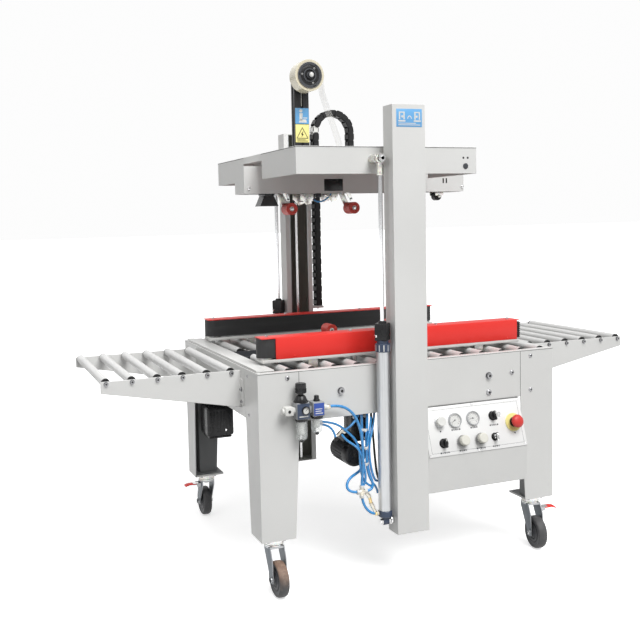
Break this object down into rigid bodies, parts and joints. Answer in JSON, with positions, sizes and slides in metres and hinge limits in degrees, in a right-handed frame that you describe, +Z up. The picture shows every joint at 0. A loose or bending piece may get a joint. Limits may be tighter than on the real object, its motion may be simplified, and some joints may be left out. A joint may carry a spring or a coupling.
{
  "type": "carton sealer",
  "caption": "Side-belt carton sealing machine with a pneumatic lift head, tape reel on a mast, roller bed with infeed and outfeed extensions, and swivel casters.",
  "frame": {"origin": "centre of the machine's footprint at floor level", "axes": "+X is the conveying direction, -Y is the operator side with the control face, +Z is up"},
  "size_m": [1.76, 0.8925, 1.541],
  "materials": {
    "paint": "light warm grey satin powder coat",
    "bed_steel": "plain steel bed rails",
    "roller_grey": "pale grey coated roller tube",
    "cylinder_grey": "anodised cylinder tube",
    "plate_white": "white control plate",
    "button_white": "white push button",
    "stop_red": "red mushroom head",
    "knob_black": "black selector",
    "knob_ivory": "ivory regulator knob",
    "air_grey": "grey air preparation unit",
    "hose_blue": "blue air hose",
    "rod_chrome": "bright piston rods",
    "mast_black": "black anodised mast",
    "tape_tan": "packing tape",
    "chain_black": "black cable chain",
    "zinc": "zinc plated steel",
    "wipe_red": "red applying roller",
    "cover_red": "red drive cover",
    "belt_black": "black ribbed drive belt",
    "tyre_grey": "dark grey caster tread",
    "pedal_red": "red brake pedal"
  },
  "bodies": {
    "frame": {"legs": "paint", "body_panels": "paint", "bed_frame": "bed_steel", "bed_rollers": "roller_grey", "extension_frames": "paint", "columns": "paint", "lift_cylinders": "cylinder_grey", "control_box": "paint", "control_plate": "plate_white", "air_unit": "air_grey", "air_hoses": "hose_blue", "lower_cartridge": "zinc"},
    "head": {"head_bridge": "paint", "head_channel": "paint", "lift_rods": "rod_chrome", "tape_mast": "mast_black", "drag_chain": "chain_black"},
    "side_drive_front": {"side_unit_front": "cover_red", "side_belt_front": "belt_black"},
    "side_drive_back": {"side_unit_back": "cover_red", "side_belt_back": "belt_black"},
    "tape_reel": {"tape_reel": "tape_tan"},
    "upper_arm_front": {"upper_arm_front": "zinc"},
    "upper_arm_rear": {"upper_arm_rear": "zinc"},
    "upper_roller_front": {"upper_roller_front": "wipe_red"},
    "upper_roller_rear": {"upper_roller_rear": "wipe_red"},
    "lower_arm_front": {"lower_arm_front": "zinc"},
    "lower_arm_rear": {"lower_arm_rear": "zinc"},
    "lower_roller_front": {"lower_roller_front": "wipe_red"},
    "lower_roller_rear": {"lower_roller_rear": "wipe_red"},
    "push_button": {"push_button": "button_white"},
    "estop_button": {"estop_button": "stop_red"},
    "key_selector": {"key_selector": "knob_black"},
    "mode_selector": {"mode_selector": "knob_black"},
    "small_selector": {"small_selector": "knob_black"},
    "gauge_knob_left": {"gauge_knob_left": "knob_ivory"},
    "gauge_knob_right": {"gauge_knob_right": "knob_ivory"},
    "air_unit_knob": {"air_unit_knob": "knob_black"},
    "caster_fork_1": {"caster_fork_1": "zinc"},
    "caster_wheel_1": {"caster_wheel_1": "tyre_grey"},
    "caster_fork_2": {"caster_fork_2": "zinc"},
    "caster_wheel_2": {"caster_wheel_2": "tyre_grey"},
    "caster_fork_3": {"caster_fork_3": "zinc"},
    "caster_wheel_3": {"caster_wheel_3": "tyre_grey"},
    "caster_fork_4": {"caster_fork_4": "zinc"},
    "caster_wheel_4": {"caster_wheel_4": "tyre_grey"},
    "caster_brake_1": {"caster_brake_1": "pedal_red"},
    "caster_brake_2": {"caster_brake_2": "pedal_red"},
    "infeed_roller_1": {"infeed_roller_1": "roller_grey"},
    "outfeed_roller_1": {"outfeed_roller_1": "roller_grey"},
    "infeed_roller_2": {"infeed_roller_2": "roller_grey"},
    "outfeed_roller_2": {"outfeed_roller_2": "roller_grey"},
    "infeed_roller_3": {"infeed_roller_3": "roller_grey"},
    "outfeed_roller_3": {"outfeed_roller_3": "roller_grey"},
    "infeed_roller_4": {"infeed_roller_4": "roller_grey"},
    "outfeed_roller_4": {"outfeed_roller_4": "roller_grey"},
    "infeed_roller_5": {"infeed_roller_5": "roller_grey"},
    "outfeed_roller_5": {"outfeed_roller_5": "roller_grey"},
    "infeed_roller_6": {"infeed_roller_6": "roller_grey"},
    "outfeed_roller_6": {"outfeed_roller_6": "roller_grey"}
  },
  "joints": [
    {"name": "head_lift", "type": "slide", "parent": "frame", "child": "head", "axis": [0, 0, 1], "range_m": [-0.372, 0], "deforming": ["drag_chain"]},
    {"name": "side_drive_front_slide", "type": "slide", "parent": "frame", "child": "side_drive_front", "axis": [0, 1, 0], "range_m": [0, 0.16]},
    {"name": "side_drive_back_slide", "type": "slide", "parent": "frame", "child": "side_drive_back", "axis": [0, 1, 0], "range_m": [-0.16, 0]},
    {"name": "upper_arm_front_swing", "type": "hinge", "parent": "head", "child": "upper_arm_front", "pos_m": [-0.265, 0, 1.15], "axis": [0, 1, 0], "range_deg": [-38, 0], "stiffness_Nm_per_rad": 2, "springref_deg": 34.38},
    {"name": "upper_arm_rear_swing", "type": "hinge", "parent": "head", "child": "upper_arm_rear", "pos_m": [-0.048, 0, 1.15], "axis": [0, 1, 0], "range_deg": [-38, 0], "stiffness_Nm_per_rad": 2, "springref_deg": 34.38},
    {"name": "lower_arm_front_swing", "type": "hinge", "parent": "frame", "child": "lower_arm_front", "pos_m": [-0.136, 0, 0.609], "axis": [0, 1, 0], "range_deg": [0, 38], "stiffness_Nm_per_rad": 2, "springref_deg": -34.38},
    {"name": "lower_arm_rear_swing", "type": "hinge", "parent": "frame", "child": "lower_arm_rear", "pos_m": [0.081, 0, 0.609], "axis": [0, 1, 0], "range_deg": [0, 38], "stiffness_Nm_per_rad": 2, "springref_deg": -34.38},
    {"name": "tape_reel_spin", "type": "hinge", "parent": "head", "child": "tape_reel", "pos_m": [-0.16, 0, 1.492], "axis": [0, 1, 0], "continuous": true},
    {"name": "upper_roller_front_spin", "type": "hinge", "parent": "upper_arm_front", "child": "upper_roller_front", "pos_m": [-0.229, 0, 1.076], "axis": [0, 1, 0], "continuous": true},
    {"name": "upper_roller_rear_spin", "type": "hinge", "parent": "upper_arm_rear", "child": "upper_roller_rear", "pos_m": [-0.012, 0, 1.076], "axis": [0, 1, 0], "continuous": true},
    {"name": "lower_roller_front_spin", "type": "hinge", "parent": "lower_arm_front", "child": "lower_roller_front", "pos_m": [-0.1, 0, 0.683], "axis": [0, 1, 0], "continuous": true},
    {"name": "lower_roller_rear_spin", "type": "hinge", "parent": "lower_arm_rear", "child": "lower_roller_rear", "pos_m": [0.117, 0, 0.683], "axis": [0, 1, 0], "continuous": true},
    {"name": "push_button_press", "type": "slide", "parent": "frame", "child": "push_button", "axis": [0, 0.9487, -0.3162], "range_m": [0, 0.004], "stiffness_N_per_m": 400},
    {"name": "estop_press", "type": "slide", "parent": "frame", "child": "estop_button", "axis": [0, 0.9487, -0.3162], "range_m": [0, 0.005], "stiffness_N_per_m": 800},
    {"name": "key_selector_turn", "type": "hinge", "parent": "frame", "child": "key_selector", "pos_m": [0.25, -0.40118, 0.44216], "axis": [0, -0.9487, 0.3162], "range_deg": [-60, 60]},
    {"name": "mode_selector_turn", "type": "hinge", "parent": "frame", "child": "mode_selector", "pos_m": [0.069, -0.42079, 0.38334], "axis": [0, -0.9487, 0.3162], "range_deg": [-60, 60]},
    {"name": "small_selector_turn", "type": "hinge", "parent": "frame", "child": "small_selector", "pos_m": [0.245, -0.42079, 0.38334], "axis": [0, -0.9487, 0.3162], "range_deg": [-45, 45]},
    {"name": "gauge_knob_left_turn", "type": "hinge", "parent": "frame", "child": "gauge_knob_left", "pos_m": [0.13, -0.42079, 0.38334], "axis": [0, -0.9487, 0.3162], "range_deg": [-150, 150]},
    {"name": "gauge_knob_right_turn", "type": "hinge", "parent": "frame", "child": "gauge_knob_right", "pos_m": [0.192, -0.42079, 0.38334], "axis": [0, -0.9487, 0.3162], "range_deg": [-150, 150]},
    {"name": "air_unit_knob_turn", "type": "hinge", "parent": "frame", "child": "air_unit_knob", "pos_m": [-0.369, -0.41, 0.58], "axis": [0, 0, 1], "range_deg": [-150, 150]},
    {"name": "caster_swivel_1", "type": "hinge", "parent": "frame", "child": "caster_fork_1", "pos_m": [-0.433, -0.341, 0.138], "axis": [0, 0, 1], "continuous": true},
    {"name": "caster_swivel_2", "type": "hinge", "parent": "frame", "child": "caster_fork_2", "pos_m": [0.433, -0.341, 0.138], "axis": [0, 0, 1], "continuous": true},
    {"name": "caster_swivel_3", "type": "hinge", "parent": "frame", "child": "caster_fork_3", "pos_m": [-0.433, 0.341, 0.138], "axis": [0, 0, 1], "continuous": true},
    {"name": "caster_swivel_4", "type": "hinge", "parent": "frame", "child": "caster_fork_4", "pos_m": [0.433, 0.341, 0.138], "axis": [0, 0, 1], "continuous": true},
    {"name": "caster_roll_1", "type": "hinge", "parent": "caster_fork_1", "child": "caster_wheel_1", "pos_m": [-0.433, -0.377, 0.05], "axis": [1, 0, 0], "continuous": true},
    {"name": "caster_roll_2", "type": "hinge", "parent": "caster_fork_2", "child": "caster_wheel_2", "pos_m": [0.42799, -0.37665, 0.05], "axis": [0.9903, -0.1392, 0], "continuous": true},
    {"name": "caster_roll_3", "type": "hinge", "parent": "caster_fork_3", "child": "caster_wheel_3", "pos_m": [-0.433, 0.377, 0.05], "axis": [-1, 0, 0], "continuous": true},
    {"name": "caster_roll_4", "type": "hinge", "parent": "caster_fork_4", "child": "caster_wheel_4", "pos_m": [0.433, 0.377, 0.05], "axis": [-1, 0, 0], "continuous": true},
    {"name": "caster_brake_1_press", "type": "hinge", "parent": "caster_fork_2", "child": "caster_brake_1", "pos_m": [0.46048, -0.36102, 0.118], "axis": [0.1392, 0.9903, 0], "range_deg": [0, 14]},
    {"name": "caster_brake_2_press", "type": "hinge", "parent": "caster_fork_3", "child": "caster_brake_2", "pos_m": [-0.463, 0.357, 0.118], "axis": [0, -1, 0], "range_deg": [0, 14]},
    {"name": "infeed_roller_1_spin", "type": "hinge", "parent": "frame", "child": "infeed_roller_1", "pos_m": [-0.865, 0, 0.615], "axis": [0, 1, 0], "continuous": true},
    {"name": "infeed_roller_2_spin", "type": "hinge", "parent": "frame", "child": "infeed_roller_2", "pos_m": [-0.7944, 0, 0.615], "axis": [0, 1, 0], "continuous": true},
    {"name": "infeed_roller_3_spin", "type": "hinge", "parent": "frame", "child": "infeed_roller_3", "pos_m": [-0.7238, 0, 0.615], "axis": [0, 1, 0], "continuous": true},
    {"name": "infeed_roller_4_spin", "type": "hinge", "parent": "frame", "child": "infeed_roller_4", "pos_m": [-0.6532, 0, 0.615], "axis": [0, 1, 0], "continuous": true},
    {"name": "infeed_roller_5_spin", "type": "hinge", "parent": "frame", "child": "infeed_roller_5", "pos_m": [-0.5826, 0, 0.615], "axis": [0, 1, 0], "continuous": true},
    {"name": "infeed_roller_6_spin", "type": "hinge", "parent": "frame", "child": "infeed_roller_6", "pos_m": [-0.512, 0, 0.615], "axis": [0, 1, 0], "continuous": true},
    {"name": "outfeed_roller_1_spin", "type": "hinge", "parent": "frame", "child": "outfeed_roller_1", "pos_m": [0.512, 0, 0.615], "axis": [0, 1, 0], "continuous": true},
    {"name": "outfeed_roller_2_spin", "type": "hinge", "parent": "frame", "child": "outfeed_roller_2", "pos_m": [0.5826, 0, 0.615], "axis": [0, 1, 0], "continuous": true},
    {"name": "outfeed_roller_3_spin", "type": "hinge", "parent": "frame", "child": "outfeed_roller_3", "pos_m": [0.6532, 0, 0.615], "axis": [0, 1, 0], "continuous": true},
    {"name": "outfeed_roller_4_spin", "type": "hinge", "parent": "frame", "child": "outfeed_roller_4", "pos_m": [0.7238, 0, 0.615], "axis": [0, 1, 0], "continuous": true},
    {"name": "outfeed_roller_5_spin", "type": "hinge", "parent": "frame", "child": "outfeed_roller_5", "pos_m": [0.7944, 0, 0.615], "axis": [0, 1, 0], "continuous": true},
    {"name": "outfeed_roller_6_spin", "type": "hinge", "parent": "frame", "child": "outfeed_roller_6", "pos_m": [0.865, 0, 0.615], "axis": [0, 1, 0], "continuous": true}
  ],
  "couplings": [
    {"joint": "side_drive_back_slide", "follows": "side_drive_front_slide", "ratio": -1},
    {"joint": "upper_arm_rear_swing", "follows": "upper_arm_front_swing", "ratio": 1},
    {"joint": "lower_arm_rear_swing", "follows": "lower_arm_front_swing", "ratio": 1}
  ]
}
